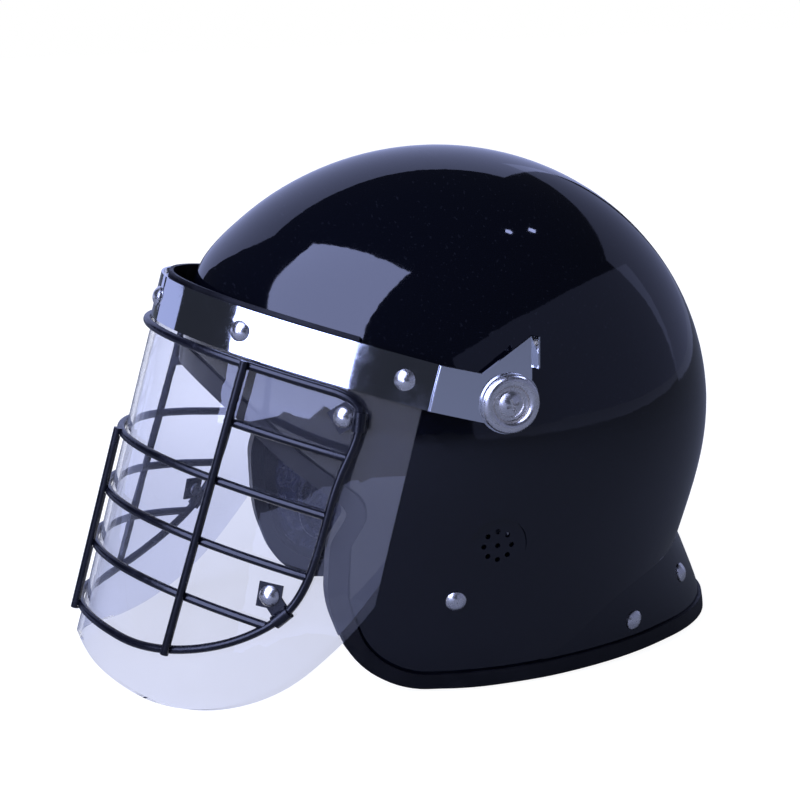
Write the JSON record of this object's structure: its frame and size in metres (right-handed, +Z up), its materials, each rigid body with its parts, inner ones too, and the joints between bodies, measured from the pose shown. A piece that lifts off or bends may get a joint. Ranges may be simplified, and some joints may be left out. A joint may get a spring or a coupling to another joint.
{
  "type": "riot helmet",
  "caption": "Full-face riot helmet: glossy one-piece shell with flared neck guard, and a clear face visor with a wire grille that swings up on side pivots.",
  "frame": {"origin": "middle of the helmet's bounding box on the surface it stands on", "axes": "+Z up, -Y to the front where the visor is, +X to the wearer's left"},
  "size_m": [0.2484, 0.3452, 0.2562],
  "materials": {
    "shell_gloss": "high gloss black",
    "edging_rubber": "satin black rubber",
    "liner_foam": "moulded black foam",
    "pad_leather": "soft black leathercloth",
    "webbing": "woven black webbing",
    "buckle_plastic": "matt black moulded",
    "bright_steel": "bright nickel plate",
    "chrome_band": "polished plate",
    "washer_nylon": "pale nylon",
    "clear_lens": "clear polished sheet",
    "coated_wire": "satin black coating",
    "coated_clip": "satin black coating"
  },
  "bodies": {
    "helmet": {"shell": "shell_gloss", "rim_edging": "edging_rubber", "impact_liner": "liner_foam", "crown_pad": "pad_leather", "brow_pad": "pad_leather", "nape_pad": "pad_leather", "cheek_pad_left": "pad_leather", "cheek_pad_right": "pad_leather", "chin_strap_left": "webbing", "chin_strap_right": "webbing", "rear_straps": "webbing", "buckle_socket": "buckle_plastic", "buckle_tongue": "buckle_plastic", "chin_cup": "pad_leather", "shell_rivets": "bright_steel", "rivet_washers": "bright_steel", "pivot_bushes": "washer_nylon", "friction_washers": "edging_rubber", "cup_washers": "bright_steel", "pivot_screws": "bright_steel", "pivot_nuts": "bright_steel", "nylon_washers": "washer_nylon"},
    "visor": {"visor_lens": "clear_lens", "visor_band": "chrome_band", "backing_plates": "bright_steel", "seal_strip": "edging_rubber", "band_rivets": "bright_steel", "grille_top_wire": "coated_wire", "grille_bottom_wire": "coated_wire", "grille_side_left": "coated_wire", "grille_side_right": "coated_wire", "grille_rungs": "coated_wire", "grille_eye_rungs": "coated_wire", "grille_uprights": "coated_wire", "grille_clips": "coated_clip", "clip_rivets": "bright_steel"}
  },
  "joints": [
    {"name": "visor_pivot", "type": "hinge", "parent": "helmet", "child": "visor", "pos_m": [0, 0.02129, 0.15004], "axis": [-1, 0, 0], "range_deg": [0, 70]}
  ]
}
